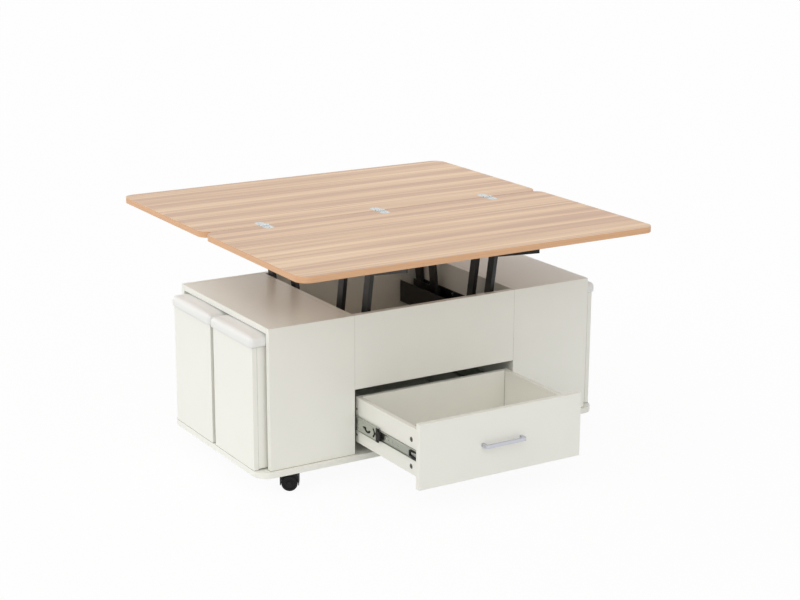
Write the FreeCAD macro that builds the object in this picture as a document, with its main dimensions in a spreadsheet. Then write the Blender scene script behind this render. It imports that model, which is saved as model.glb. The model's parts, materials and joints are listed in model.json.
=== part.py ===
import FreeCAD, Part
import Sketcher
import math
import os
import re

from FreeCAD import Placement, Rotation, Vector

# Convertible coffee and dining table, in millimetres, drawn as it stands in use: top raised and
# unfolded, drawer drawn out, four stools put away in the end cubbies.
# The origin is on the floor under the cabinet's centre. +X runs along the table to the right,
# +Y to the rear and +Z up. Right-hand pieces are drawn, left-hand ones mirrored in X.

SIZES = {
    # boards of the cabinet
    "board": 18,
    "caster_height": 62,
    "base_length": 1200,
    "base_depth": 600,
    "base_corner": 45,
    "end_ledge": 40,
    "side_ledge": 10,
    "cabinet_height": 425,
    "middle_width": 562,
    "apron_height": 225,
    "shelf_board": 15,
    "shelf_lift": 5,
    # table top
    "top_height": 720,
    "leaf_board": 18,
    "leaf_corner": 38,
    "leaf_gap": 2,
    "joint_offset": 40,
    "closed_clear": 0.5,
    # fold-over hinges
    "hinge_spacing": 400,
    "hinge_width": 30,
    "hinge_reach": 46,
    "hinge_plate": 2.5,
    "hinge_clear": 0.3,
    "knuckle_radius": 4,
    "knuckle_rise": 0.3,
    "knuckle_middle": 12,
    "hinge_pin_radius": 1.8,
    "hinge_screw_head": 3.5,
    "hinge_screw_shank": 1.5,
    "hinge_screw_length": 13,
    "hinge_screw_side": 8,
    "hinge_screw_near": 14,
    "hinge_screw_far": 34,
    # lift arms and their pivots
    "pivot_drop": 100,
    "bracket_pivot_drop": 78,
    "arm_pitch": 116,
    "arm_panel_clear": 11,
    "arm_width": 30,
    "arm_thick": 13,
    "plate_thick": 4,
    "side_clear": 0.5,
    "stack_gap": 3,
    "pin_radius": 6,
    "pin_clear": 0.05,
    # channels on the partitions
    "channel_wall": 2,
    "channel_end_gap": 3.5,
    "channel_height": 72,
    "channel_rim_drop": 83,
    "channel_head_gap": 3.5,
    "channel_screw_radius": 2,
    "channel_screw_length": 12,
    "channel_head_radius": 5,
    "channel_head_thick": 2.4,
    "channel_screw_drop": 10,
    "channel_screw_near": 50,
    "channel_screw_inset": 75,
    # fixed pivot plates and their stops
    "plate_rise": 15,
    "plate_margin": 25.5,
    "plate_inset": 17,
    "stop_radius": 4,
    "stop_along": 8,
    "stop_clear": 0.3,
    # brackets under the leaves
    "bracket_tip_inset": 74,
    "bracket_tip_depth": 34,
    "bracket_pin_margin": 11,
    "bracket_heel_margin": 12,
    "flange_width": 26,
    "flange_thick": 3,
    "bracket_screw_radius": 2.5,
    "bracket_screw_head": 5,
    "bracket_screw_head_thick": 2.5,
    "bracket_screw_depth": 12,
    "bracket_screw_count": 3,
    "pad_height": 3,
    "pad_length": 40,
    "pad_clear": 0.3,
    "pad_inset": 30,
    "cross_bar": 20,
    "cross_bar_inset": 20,
    # drawer
    "drawer_gap": 3,
    "drawer_side_board": 15,
    "drawer_side_lift": 30,
    "drawer_side_drop": 25,
    "drawer_bottom_board": 5,
    "drawer_bottom_lift": 12,
    "handle_length": 140,
    "handle_stand": 25,
    "handle_bar": 8,
    "handle_height": 10,
    "handle_corner": 7,
    "cam_radius": 7.5,
    "cam_depth": 9,
    "cam_inset": 40,
    "cam_spread": 40,
    "back_screw_radius": 4,
    # drawer runners
    "runner_thick": 12.5,
    "runner_length": 350,
    "runner_setback": 2,
    "runner_sheet": 1.5,
    "runner_height": 46,
    "runner_drop": 6.5,
    "runner_clear": 0.5,
    "runner_lip": 11,
    "runner_middle_low": 2.5,
    "runner_middle_trim": 18,
    "runner_middle_lip": 8,
    "runner_middle_web": 5.2,
    "runner_inner_lip": 3.8,
    "runner_hole_radius": 4,
    "runner_hole_count": 5,
    "clip_length": 30,
    "clip_thick": 3,
    "clip_height": 26,
    # stools
    "stool_height": 368,
    "stool_end_inset": 1,
    "stool_side_clear": 10,
    "stool_board": 15,
    "stool_lift": 0.3,
    "stool_gap": 20,
    "stool_back_clear": 2,
    "stool_side_lift": 4,
    "cushion_height": 36,
    "cushion_bulge": 8,
    "cushion_corner": 14,
    "cushion_lift": 0.3,
    # casters
    "caster_inset_x": 134,
    "caster_inset_y": 36,
    "caster_plate": 40,
    "caster_plate_thick": 2.5,
    "caster_gap": 0.3,
    "kingpin_radius": 5,
    "kingpin_length": 12,
    "caster_trail": 17,
    "caster_turn": -31.6,
    "wheel_radius": 24,
    "wheel_width": 16,
    "wheel_gap": 0.6,
    "web_thick": 8,
    "axle_radius": 3,
    "hood_gap": 1.5,
    "hood_wall": 2.2,
    "hood_skirt": 5,
    "hood_crown": 36,
    # one overrun for all cuts
    "overrun": 5,
}

# Shares of the cushion: height, and how far out of its bulge and in from its edge each section lies
CUSHION_RISE_SHARES = (0.0, 0.34, 0.72, 0.93, 1.0)
CUSHION_BULGE_SHARES = (0.0, 1.0, 0.75, -1.2, -6.0)

doc = FreeCAD.newDocument("table")
sheet = doc.addObject("Spreadsheet::Sheet", "sizes")
for row, (alias, number) in enumerate(SIZES.items(), start=1):
    sheet.set(f"A{row}", alias)
    sheet.set(f"B{row}", str(number))
    sheet.setAlias(f"B{row}", alias)
doc.recompute()

NODES = []


def bound(text):
    """Point the size names in an expression at their cells."""
    return re.sub(r"[a-z][a-z_]*", lambda word: f"sizes.{word[0]}" if word[0] in SIZES else word[0], text)


def value(text):
    """The number that an expression of sizes has, for shapes that are worked out in code."""
    probe = doc.addObject("App::FeaturePython", "probe")
    probe.addProperty("App::PropertyFloat", "Number")
    probe.setExpression("Number", bound(text))
    probe.recompute()
    number = probe.Number
    doc.removeObject(probe.Name)
    return number


def place(item, at):
    """Bind an object's place to three expressions."""
    for axis, text in zip("xyz", at):
        item.setExpression(f"Placement.Base.{axis}", bound(text))
    return item


def box(name, size, low):
    """A block of three sizes with its low corner at a place."""
    item = doc.addObject("Part::Box", name)
    for side, text in zip(("Length", "Width", "Height"), size):
        item.setExpression(side, bound(text))
    return place(item, low)


TURNS = {"x": Rotation(Vector(0, 1, 0), 90), "y": Rotation(Vector(1, 0, 0), -90), "z": Rotation()}


def rod(name, axis, radius, length, start):
    """A cylinder along an axis from its start."""
    item = doc.addObject("Part::Cylinder", name)
    item.setExpression("Radius", bound(radius))
    item.setExpression("Height", bound(length))
    item.Placement = Placement(Vector(), TURNS[axis])
    return place(item, start)


def cone(name, axis, low_radius, high_radius, length, start):
    """A tapered cylinder along an axis from its start."""
    item = doc.addObject("Part::Cone", name)
    item.setExpression("Radius1", bound(low_radius))
    item.setExpression("Radius2", bound(high_radius))
    item.setExpression("Height", bound(length))
    item.Placement = Placement(Vector(), TURNS[axis])
    return place(item, start)


def fuse(name, items):
    item = doc.addObject("Part::MultiFuse", name)
    item.Shapes = items
    return item


def group(name, items):
    """Separate solids kept side by side in one object."""
    item = doc.addObject("Part::Compound", name)
    item.Links = items
    return item


def cut(name, base, tools):
    item = doc.addObject("Part::Cut", name)
    item.Base = base
    item.Tool = tools[0] if len(tools) == 1 else group(f"{name}_tools", tools)
    return item


def mirror(name, source, normal=Vector(1, 0, 0)):
    """A copy on the other side of the origin."""
    item = doc.addObject("Part::Mirroring", name)
    item.Source = source
    item.Normal = normal
    return item


def pair(name, right):
    """A right-hand piece and its left-hand copy in one node."""
    return node(group(name, [right, mirror(f"{name}_left", right)]))


def node(item):
    """Mark a finished sub-part; its label names its file."""
    NODES.append(item)
    return item


def origin_plane(body, role):
    return next(plane for plane in body.Origin.OriginFeatures if plane.Role == role)


def outline(body, role, points):
    """A closed polygon on one of a body's origin planes, each corner bound to two expressions."""
    sketch = body.newObject("Sketcher::SketchObject", f"{body.Name}_outline")
    sketch.AttachmentSupport = [(origin_plane(body, role), "")]
    sketch.MapMode = "FlatFace"
    corners = [Vector(value(along), value(up), 0) for along, up in points]
    for index, corner in enumerate(corners):
        sketch.addGeometry(Part.LineSegment(corner, corners[(index + 1) % len(corners)]))
    for index in range(len(corners)):
        following = (index + 1) % len(corners)
        sketch.addConstraint(Sketcher.Constraint("Coincident", index, 2, following, 1))
    for index, (texts, corner) in enumerate(zip(points, corners)):
        for kind, text, number in zip(("DistanceX", "DistanceY"), texts, corner):
            entry = sketch.addConstraint(Sketcher.Constraint(kind, -1, 1, index, 1, number))
            sketch.setExpression(f"Constraints[{entry}]", bound(text))
    return sketch


def padded(name, role, points, thick, at):
    """A body padded from a polygon on an origin plane."""
    body = doc.addObject("PartDesign::Body", name)
    pad = body.newObject("PartDesign::Pad", f"{name}_pad")
    pad.Profile = outline(body, role, points)
    pad.setExpression("Length", bound(thick))
    place(body, at)
    doc.recompute()
    return body


def round_edges(body, radius, chosen):
    """Fillet the edges of a body's last feature that the chosen test picks."""
    last = body.Tip
    edges = [f"Edge{number}" for number, edge in enumerate(last.Shape.Edges, start=1) if chosen(edge)]
    fillet = body.newObject("PartDesign::Fillet", f"{body.Name}_fillet")
    fillet.Base = (last, edges)
    fillet.setExpression("Radius", bound(radius))
    doc.recompute()
    return body


def upright(edge):
    return abs(edge.tangentAt(edge.FirstParameter).z) > 0.99


def rounded_board(name, length, depth, thick, corner, centre):
    """A board with its four upright corner edges rounded, centred on a place at its underside."""
    x, y = f"({length})/2", f"({depth})/2"
    corners = ((f"-{x}", f"-{y}"), (x, f"-{y}"), (x, y), (f"-{x}", y))
    return round_edges(padded(name, "XY_Plane", corners, thick, centre), corner, upright)


# Levels and walls that many pieces share
BASE_TOP = "(caster_height + board)"
CABINET_TOP = f"({BASE_TOP} + cabinet_height)"
FACE_Y = "(base_depth/2 - side_ledge)"
INNER_Y = f"({FACE_Y} - board)"
WALL_X = "(middle_width/2)"
BLOCK_X = f"({WALL_X} + board)"
END_X = "(base_length/2 - end_ledge)"
LEAF_UNDER = "(top_height - leaf_board)"
LEAF_DEPTH = "(base_depth - leaf_gap)"


def cabinet():
    """Base board, panels, partitions, block tops and the shelf over the drawer."""
    node(rounded_board("base_board", "base_length", "base_depth", "board", "base_corner",
                       ("0", "0", "caster_height")))
    front = (f"{END_X} - {WALL_X}", "board", "cabinet_height")
    block = (f"{END_X} - {BLOCK_X}", f"2*{INNER_Y}", "board")
    for side, start in (("left", f"-{END_X}"), ("right", WALL_X)):
        node(box(f"front_panel_{side}", front, (start, f"-{FACE_Y}", BASE_TOP)))
    for side, start in (("left", f"-{END_X}"), ("right", BLOCK_X)):
        node(box(f"block_top_{side}", block, (start, f"-{INNER_Y}", f"{CABINET_TOP} - board")))
    node(box("rear_panel", (f"2*{END_X}", "board", "cabinet_height"), (f"-{END_X}", INNER_Y, BASE_TOP)))
    node(box("apron_panel", ("middle_width", "board", "apron_height"),
             (f"-{WALL_X}", f"-{FACE_Y}", f"{CABINET_TOP} - apron_height")))
    node(box("compartment_shelf", ("middle_width", f"2*{INNER_Y}", "shelf_board"),
             (f"-{WALL_X}", f"-{INNER_Y}", f"{CABINET_TOP} - apron_height + shelf_lift")))
    wall = box("partition_blank", ("board", f"2*{INNER_Y}", "cabinet_height"),
               (WALL_X, f"-{INNER_Y}", BASE_TOP))
    holes = [
        rod(f"partition_hole_{number}", "x", "channel_screw_radius + pin_clear",
            "channel_screw_length - channel_wall", (WALL_X, along, SCREW_Z))
        for number, along in enumerate(SCREW_PLACES)
    ]
    right = node(cut("partition_right", wall, holes))
    node(mirror("partition_left", right))


# Lanes of the lift across X, from the partition inwards: screw heads, outer rear arm, rear plate and
# bracket, inner rear arm, inner front arm, front plate and bracket, outer front arm, channel wall
LANE_REAR_OUTER = f"({WALL_X} - channel_wall - channel_head_gap - arm_thick)"
LANE_REAR_PLATE = f"({LANE_REAR_OUTER} - side_clear - plate_thick)"
LANE_REAR_INNER = f"({LANE_REAR_PLATE} - side_clear - arm_thick)"
LANE_FRONT_INNER = f"({LANE_REAR_INNER} - stack_gap - arm_thick)"
LANE_FRONT_PLATE = f"({LANE_FRONT_INNER} - side_clear - plate_thick)"
LANE_FRONT_OUTER = f"({LANE_FRONT_PLATE} - side_clear - arm_thick)"
CHANNEL_X = f"({LANE_FRONT_OUTER} - side_clear - channel_wall)"
CHANNEL_LOW = f"({CABINET_TOP} - channel_rim_drop - channel_height)"
CHANNEL_FLOOR = f"({CHANNEL_LOW} + channel_wall)"
PIVOT_Z = f"({CABINET_TOP} - pivot_drop)"
SCREW_Z = f"({CABINET_TOP} - channel_rim_drop - channel_screw_drop)"

# The leaf drops onto the cabinet and travels back to its centre. The pivots keep their depths under the
# cabinet's top and under the leaf, which sets how long the arms are and how far they lean when raised.
LEAF_DROP = f"({LEAF_UNDER} - {CABINET_TOP} - closed_clear)"
LEAF_TRAVEL = "(base_depth/2 - joint_offset)"
UPPER_Z = f"({LEAF_UNDER} - bracket_pivot_drop)"
ARM_RISE = f"({UPPER_Z} - {PIVOT_Z})"
CLOSED_RISE = f"({ARM_RISE} - {LEAF_DROP})"
ARM_LEAN = f"(({LEAF_TRAVEL} - ({ARM_RISE}^2 - {CLOSED_RISE}^2)/{LEAF_TRAVEL})/2)"
ARM_LENGTH = f"sqrt({ARM_RISE}^2 + {ARM_LEAN}^2)"

# The lower pivots stand back from the panels, so that the leaning arms pass the panels' top edges
PIVOT_FAR = (f"({INNER_Y} - arm_panel_clear"
             f" - (pivot_drop*max({ARM_LEAN}; 0) + arm_width/2*{ARM_LENGTH})/{ARM_RISE})")
PIVOT_NEAR = f"({PIVOT_FAR} - arm_pitch)"
CHANNEL_END = f"({PIVOT_FAR} + plate_margin + channel_end_gap)"
SCREW_FAR = f"({CHANNEL_END} - channel_screw_inset)"
SCREW_PLACES = (f"-{SCREW_FAR}", "-channel_screw_near", "channel_screw_near", SCREW_FAR)
BRACKET_TIP = f"({LEAF_DEPTH} + leaf_gap/2 - joint_offset - bracket_tip_inset)"
BRACKET_HEEL = f"({PIVOT_NEAR} + {ARM_LEAN} - bracket_heel_margin)"
BRACKET_LENGTH = f"({BRACKET_TIP} - {BRACKET_HEEL})"
BRACKET_SCREWS = [
    f"-({BRACKET_TIP} - pad_inset - {number}*({BRACKET_LENGTH} - 2*pad_inset)/(bracket_screw_count - 1))"
    for number in range(SIZES["bracket_screw_count"])
]

# Each arm: its lane, the lane of its plate, which way it faces and how far its pivot lies from the centre
ARMS = {
    "front_arms_outer": (LANE_FRONT_OUTER, LANE_FRONT_PLATE, "-", PIVOT_FAR),
    "front_arms_inner": (LANE_FRONT_INNER, LANE_FRONT_PLATE, "-", PIVOT_NEAR),
    "rear_arms_inner": (LANE_REAR_INNER, LANE_REAR_PLATE, "", PIVOT_NEAR),
    "rear_arms_outer": (LANE_REAR_OUTER, LANE_REAR_PLATE, "", PIVOT_FAR),
}


def channels():
    """A steel channel on each partition, with its zinc screws."""
    wide = f"{WALL_X} - {CHANNEL_X}"
    start, length = f"-{CHANNEL_END}", f"2*{CHANNEL_END}"
    walls = [
        box("channel_floor", (wide, length, "channel_wall"), (CHANNEL_X, start, CHANNEL_LOW)),
        box("channel_inner", ("channel_wall", length, "channel_height"), (CHANNEL_X, start, CHANNEL_LOW)),
        box("channel_outer", ("channel_wall", length, "channel_height"),
            (f"{WALL_X} - channel_wall", start, CHANNEL_LOW)),
    ]
    holes, screws = [], []
    for number, along in enumerate(SCREW_PLACES):
        inside = f"{WALL_X} - channel_wall"
        holes.append(rod(f"channel_hole_{number}", "x", "channel_screw_radius + pin_clear",
                         "channel_wall + overrun", (f"{inside} - overrun/2", along, SCREW_Z)))
        screws.append(fuse(f"channel_screw_{number}", [
            rod(f"channel_screw_head_{number}", "x", "channel_head_radius", "channel_head_thick",
                (f"{inside} - channel_head_thick", along, SCREW_Z)),
            rod(f"channel_screw_shank_{number}", "x", "channel_screw_radius", "channel_screw_length",
                (inside, along, SCREW_Z)),
        ]))
    pair("lift_channels", cut("lift_channel", fuse("channel_section", walls), holes))
    right = group("channel_screw_row", screws)
    pair("channel_screws", right)


def pivot_plates():
    """Fixed plates standing in the channels, with a stop stud for each raised arm, and the lower pins."""
    pins, plates = [], []
    for end, lane, sign in (("front", LANE_FRONT_PLATE, "-"), ("rear", LANE_REAR_PLATE, "")):
        length = "arm_pitch + plate_margin + plate_inset"
        start = f"-({PIVOT_FAR} + plate_margin)" if sign else f"{PIVOT_NEAR} - plate_inset"
        rise = f"{PIVOT_Z} + plate_rise - {CHANNEL_FLOOR}"
        blank = box(f"{end}_plate_blank", ("plate_thick", length, rise), (lane, start, CHANNEL_FLOOR))
        studs, holes = [], []
        for name, (arm_lane, plate_lane, facing, pivot) in ARMS.items():
            if plate_lane != lane:
                continue
            reach = "(arm_width/2 + stop_radius + stop_clear)"
            stud_y = f"{facing}({pivot} + ({reach}*{ARM_RISE} + stop_along*{ARM_LEAN})/{ARM_LENGTH})"
            stud_z = f"{PIVOT_Z} + (stop_along*{ARM_RISE} - {reach}*{ARM_LEAN})/{ARM_LENGTH}"
            low = f"min({arm_lane}; {plate_lane})"
            span = "arm_thick + side_clear + plate_thick"
            studs.append(rod(f"{name}_stud", "x", "stop_radius", span, (low, stud_y, stud_z)))
            holes.append(rod(f"{name}_plate_hole", "x", "pin_radius + pin_clear", "plate_thick + overrun",
                             (f"{lane} - overrun/2", f"{facing}{pivot}", PIVOT_Z)))
            pins.append(rod(f"{name}_lower_pin", "x", "pin_radius", span, (low, f"{facing}{pivot}", PIVOT_Z)))
        plates.append(cut(f"{end}_pivot_plate", fuse(f"{end}_plate_studs", [blank] + studs), holes))
    pair("pivot_plates", group("pivot_plate_row", plates))
    pair("lower_pivot_pins", group("lower_pin_row", pins))


def arms():
    """Lift arms, drawn upright on their lower pivot and then leaned past the vertical."""
    for name, (lane, plate_lane, facing, pivot) in ARMS.items():
        radius = "arm_width/2"
        solid = fuse(f"{name}_bar", [
            box(f"{name}_flat", ("arm_thick", "arm_width", ARM_LENGTH), ("0", f"-{radius}", "0")),
            rod(f"{name}_foot", "x", radius, "arm_thick", ("0", "0", "0")),
            rod(f"{name}_head", "x", radius, "arm_thick", ("0", "0", ARM_LENGTH)),
        ])
        holes = [
            rod(f"{name}_hole_{end}", "x", "pin_radius + pin_clear", "arm_thick + overrun",
                ("-overrun/2", "0", z))
            for end, z in (("foot", "0"), ("head", ARM_LENGTH))
        ]
        arm = cut(f"{name}_right", solid, holes)
        arm.Placement = Placement(Vector(), Rotation(Vector(1, 0, 0), 0))
        lean = f"atan({ARM_LEAN}/{ARM_RISE})"
        arm.setExpression("Placement.Rotation.Angle", bound(lean if facing else f"-{lean}"))
        place(arm, (lane, f"{facing}{pivot}", PIVOT_Z))
        pair(name, arm)


def brackets():
    """Long tapered brackets under the leaves, with their upper pins, screws, pads and cross bar."""
    for end, lane, sign in (("front", LANE_FRONT_PLATE, "-"), ("rear", LANE_REAR_PLATE, "")):
        top = LEAF_UNDER if sign else f"({LEAF_UNDER} - pad_height - pad_clear)"
        tip = f"{sign}{BRACKET_TIP}"
        toe = f"{sign}({PIVOT_FAR} + {ARM_LEAN} + bracket_heel_margin)"
        heel = f"{sign}{BRACKET_HEEL}"
        low = f"({UPPER_Z} - bracket_pin_margin)"
        tip_low = f"({LEAF_UNDER} - bracket_tip_depth)"
        profile = [(tip, top), (heel, top), (heel, low), (toe, low), (tip, tip_low)]
        plate = padded(f"{end}_bracket_plate", "YZ_Plane", profile, "plate_thick", (lane, "0", "0"))
        flange_x = f"{lane} + plate_thick - flange_width"
        start = tip if sign else heel
        flange = box(f"{end}_flange", ("flange_width", BRACKET_LENGTH, "flange_thick"),
                     (flange_x, start, f"{top} - flange_thick"))
        holes, pins = [], []
        for name, (arm_lane, plate_lane, facing, pivot) in ARMS.items():
            if plate_lane != lane:
                continue
            at = f"{facing}({pivot} + {ARM_LEAN})"
            holes.append(rod(f"{name}_bracket_hole", "x", "pin_radius + pin_clear", "plate_thick + overrun",
                             (f"{lane} - overrun/2", at, UPPER_Z)))
            pins.append(rod(f"{name}_upper_pin", "x", "pin_radius", "arm_thick + side_clear + plate_thick",
                            (f"min({arm_lane}; {plate_lane})", at, UPPER_Z)))
        if sign:
            screws = []
            for number, at in enumerate(BRACKET_SCREWS):
                middle = f"{flange_x} + (flange_width - plate_thick)/2"
                holes.append(rod(f"flange_hole_{number}", "z", "bracket_screw_radius + pin_clear",
                                 "flange_thick + overrun", (middle, at, f"{top} - flange_thick - overrun/2")))
                screws.append(fuse(f"bracket_screw_{number}", [
                    rod(f"bracket_screw_head_{number}", "z", "bracket_screw_head", "bracket_screw_head_thick",
                        (middle, at, f"{top} - flange_thick - bracket_screw_head_thick")),
                    rod(f"bracket_screw_shank_{number}", "z", "bracket_screw_radius",
                        "flange_thick + bracket_screw_depth", (middle, at, f"{top} - flange_thick")),
                ]))
            pair("front_bracket_screws", group("bracket_screw_row", screws))
        else:
            pads = [
                box(f"rear_pad_{number}", ("flange_width", "pad_length", "pad_height"), (flange_x, at, top))
                for number, at in enumerate((f"{heel} + pad_inset", f"{tip} - pad_inset - pad_length"))
            ]
            pair("rear_pads", group("rear_pad_row", pads))
            node(box("rear_cross_bar", (f"2*{lane}", "cross_bar", "cross_bar"),
                     (f"-{lane}", f"{tip} - cross_bar_inset - cross_bar/2",
                      f"{top} - flange_thick - cross_bar")))
        pair(f"{end}_brackets", cut(f"{end}_bracket", fuse(f"{end}_bracket_section", [plate, flange]), holes))
        pair(f"{end}_pivot_pins", group(f"{end}_pin_row", pins))


# Fold-over hinges across the joint of the leaves
HINGE_Z = "(top_height + knuckle_rise)"
HINGE_PLACES = ("-hinge_spacing", "0", "hinge_spacing")
KNUCKLE_BAY = "(knuckle_radius + hinge_clear)"
HINGE_END = "(hinge_width/2)"
HINGE_SCREWS = (("-hinge_screw_side", "hinge_screw_near"), ("hinge_screw_side", "hinge_screw_near"),
                ("0", "hinge_screw_far"))


def hinge_plate_blank(name, sign, grow, at):
    """A plate's flat: straight from the knuckle's bay out, with a round end."""
    half = f"({HINGE_END} + {grow})"
    centre = f"joint_offset {sign} (hinge_reach - {HINGE_END})"
    length = f"hinge_reach - {HINGE_END} - {KNUCKLE_BAY} + {grow}"
    low_y = f"joint_offset + {KNUCKLE_BAY} - {grow}" if sign == "+" else centre
    low_z = "top_height - hinge_plate"
    return fuse(f"{name}_flat", [
        box(f"{name}_strip", (f"2*{half}", length, "hinge_plate"), (f"{at} - {half}", low_y, low_z)),
        rod(f"{name}_round", "z", half, "hinge_plate", (at, centre, low_z)),
    ])


def screw_holes(name, sign, at, radius_head, radius_shank, length):
    """Countersunk screws, or their holes, of one hinge plate."""
    items = []
    for number, (across, along) in enumerate(HINGE_SCREWS):
        x, y = f"{at} + {across}", f"joint_offset {sign} {along}"
        items.append(fuse(f"{name}_{number}", [
            cone(f"{name}_{number}_head", "z", radius_shank, radius_head, "hinge_plate",
                 (x, y, "top_height - hinge_plate")),
            rod(f"{name}_{number}_shank", "z", radius_shank, length, (x, y, f"top_height - ({length})")),
        ]))
    return items


def leaf(name, sign):
    """One leaf of the top with its hinge mortises, screw holes and knuckle bays."""
    centre = f"joint_offset {sign} (leaf_gap + {LEAF_DEPTH})/2"
    blank = rounded_board(f"{name}_blank", "base_length", LEAF_DEPTH, "leaf_board", "leaf_corner",
                          ("0", centre, LEAF_UNDER))
    tools = []
    for number, at in enumerate(HINGE_PLACES):
        tag = f"{name}_mortise_{number}"
        half = f"({HINGE_END} + pin_clear)"
        throat_y = "joint_offset" if sign == "+" else f"joint_offset - {KNUCKLE_BAY}"
        mortise = [
            hinge_plate_blank(tag, sign, "pin_clear", at),
            box(f"{tag}_throat", (f"2*{half}", KNUCKLE_BAY, "hinge_plate"),
                (f"{at} - {half}", throat_y, "top_height - hinge_plate")),
            rod(f"{tag}_bay", "x", KNUCKLE_BAY, f"2*({HINGE_END} + hinge_clear)",
                (f"{at} - {HINGE_END} - hinge_clear", "joint_offset", HINGE_Z)),
        ]
        mortise += screw_holes(f"{tag}_hole", sign, at, "hinge_screw_shank + pin_clear",
                               "hinge_screw_shank + pin_clear", "hinge_screw_length")
        tools += mortise
    if name == "front_leaf":
        for number, at in enumerate(BRACKET_SCREWS):
            middle = f"{LANE_FRONT_PLATE} + plate_thick - flange_width + (flange_width - plate_thick)/2"
            hole = rod(f"leaf_screw_hole_{number}", "z", "bracket_screw_radius + pin_clear",
                       "bracket_screw_depth", (middle, at, LEAF_UNDER))
            tools += [hole, mirror(f"leaf_screw_hole_left_{number}", hole)]
    cutter = fuse(f"{name}_cutter", tools)
    node(cut(name, blank, [cutter]))


def hinges():
    """Hinge plates with their knuckles, pins and countersunk screws."""
    bays = {
        "-": ((f"-{HINGE_END}", f"{HINGE_END} - knuckle_middle/2 - hinge_clear"),
              ("knuckle_middle/2 + hinge_clear", f"{HINGE_END} - knuckle_middle/2 - hinge_clear")),
        "+": (("-knuckle_middle/2", "knuckle_middle"),),
    }
    for end, sign in (("front", "-"), ("rear", "+")):
        plates, screws = [], []
        for number, at in enumerate(HINGE_PLACES):
            tag = f"hinge_{end}_{number}"
            pieces, bores = [hinge_plate_blank(tag, sign, "0", at)], []
            for bay, (start, length) in enumerate(bays[sign]):
                x = f"{at} + {start}"
                low_y = "joint_offset" if sign == "+" else f"joint_offset - {KNUCKLE_BAY}"
                pieces.append(box(f"{tag}_tongue_{bay}", (length, KNUCKLE_BAY, "hinge_plate"),
                                  (x, low_y, "top_height - hinge_plate")))
                pieces.append(rod(f"{tag}_knuckle_{bay}", "x", "knuckle_radius", length,
                                  (x, "joint_offset", HINGE_Z)))
                bores.append(rod(f"{tag}_bore_{bay}", "x", "hinge_pin_radius + pin_clear",
                                 f"{length} + overrun", (f"{x} - overrun/2", "joint_offset", HINGE_Z)))
            sinks = screw_holes(f"{tag}_sink", sign, at, "hinge_screw_head + pin_clear",
                                "hinge_screw_shank + pin_clear", "hinge_screw_length")
            cutter = fuse(f"{tag}_cutter", sinks + bores)
            plates.append(cut(f"{tag}_plate", fuse(f"{tag}_pieces", pieces), [cutter]))
            screws += screw_holes(f"{tag}_screw", sign, at, "hinge_screw_head", "hinge_screw_shank",
                                  "hinge_screw_length - pin_clear")
        node(group(f"hinge_plates_{end}", plates))
        node(group(f"hinge_screws_{end}", screws))
    node(group("hinge_pins", [
        rod(f"hinge_pin_{number}", "x", "hinge_pin_radius", "hinge_width",
            (f"{at} - {HINGE_END}", "joint_offset", HINGE_Z))
        for number, at in enumerate(HINGE_PLACES)
    ]))


# Drawer, drawn out by its runners' full length; its box hangs between them
DRAWER_FACE = f"(-{FACE_Y} - runner_length)"
DRAWER_BACK = f"({DRAWER_FACE} + board)"
FRONT_LOW = f"({BASE_TOP} + drawer_gap)"
FRONT_HIGH = f"({CABINET_TOP} - apron_height - drawer_gap)"
SIDE_LOW = f"({FRONT_LOW} + drawer_side_lift)"
SIDE_HIGH = f"({FRONT_HIGH} - drawer_side_drop)"
SIDE_X = f"({WALL_X} - runner_thick)"
BOX_X = f"({SIDE_X} - drawer_side_board)"
RUNNER_Z = f"(({SIDE_LOW} + {SIDE_HIGH})/2 - runner_drop)"


def drawer():
    """Front with its bar handle, sides with cam locks and back screws, back and bottom."""
    node(box("drawer_front", ("middle_width - 2*drawer_gap", "board", f"{FRONT_HIGH} - {FRONT_LOW}"),
             (f"-{WALL_X} + drawer_gap", DRAWER_FACE, FRONT_LOW)))
    side = box("drawer_side_blank", ("drawer_side_board", "runner_length", f"{SIDE_HIGH} - {SIDE_LOW}"),
               (BOX_X, DRAWER_BACK, SIDE_LOW))
    seats, cams = [], []
    for end, radius, y in (("front", "cam_radius", f"{DRAWER_BACK} + cam_inset"),
                           ("back", "back_screw_radius",
                            f"{DRAWER_BACK} + runner_length - drawer_side_board/2")):
        for level, z in (("low", f"{RUNNER_Z} - cam_spread"), ("high", f"{RUNNER_Z} + cam_spread")):
            start = (f"{SIDE_X} - cam_depth", y, z)
            seats.append(rod(f"cam_seat_{end}_{level}", "x", f"{radius} + pin_clear", "cam_depth", start))
            cams.append(rod(f"cam_{end}_{level}", "x", radius, "cam_depth", start))
    right = node(cut("drawer_side_right", side, seats))
    node(mirror("drawer_side_left", right))
    pair("drawer_cam_locks", group("cam_row", cams))
    node(box("drawer_back", (f"2*{BOX_X}", "drawer_side_board", f"{SIDE_HIGH} - {SIDE_LOW}"),
             (f"-{BOX_X}", f"{DRAWER_BACK} + runner_length - drawer_side_board", SIDE_LOW)))
    node(box("drawer_bottom", (f"2*{BOX_X}", "runner_length - drawer_side_board", "drawer_bottom_board"),
             (f"-{BOX_X}", DRAWER_BACK, f"{SIDE_LOW} + drawer_bottom_lift")))
    handle()


def handle():
    """Bar handle on two legs, centred on the drawer front."""
    long, inside = "handle_length/2", "(handle_length/2 - handle_bar)"
    out, gap = "-handle_stand", "-(handle_stand - handle_bar)"
    profile = [(f"-{long}", "0"), (f"-{long}", out), (long, out), (long, "0"), (inside, "0"), (inside, gap),
               (f"-{inside}", gap), (f"-{inside}", "0")]
    body = padded("drawer_handle", "XY_Plane", profile, "handle_height",
                  ("0", DRAWER_FACE, f"({FRONT_LOW} + {FRONT_HIGH})/2 - handle_height/2"))
    reach = value("handle_stand")
    node(round_edges(body, "handle_corner", lambda edge: upright(edge) and edge.CenterOfMass.y < -0.99*reach))


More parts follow.
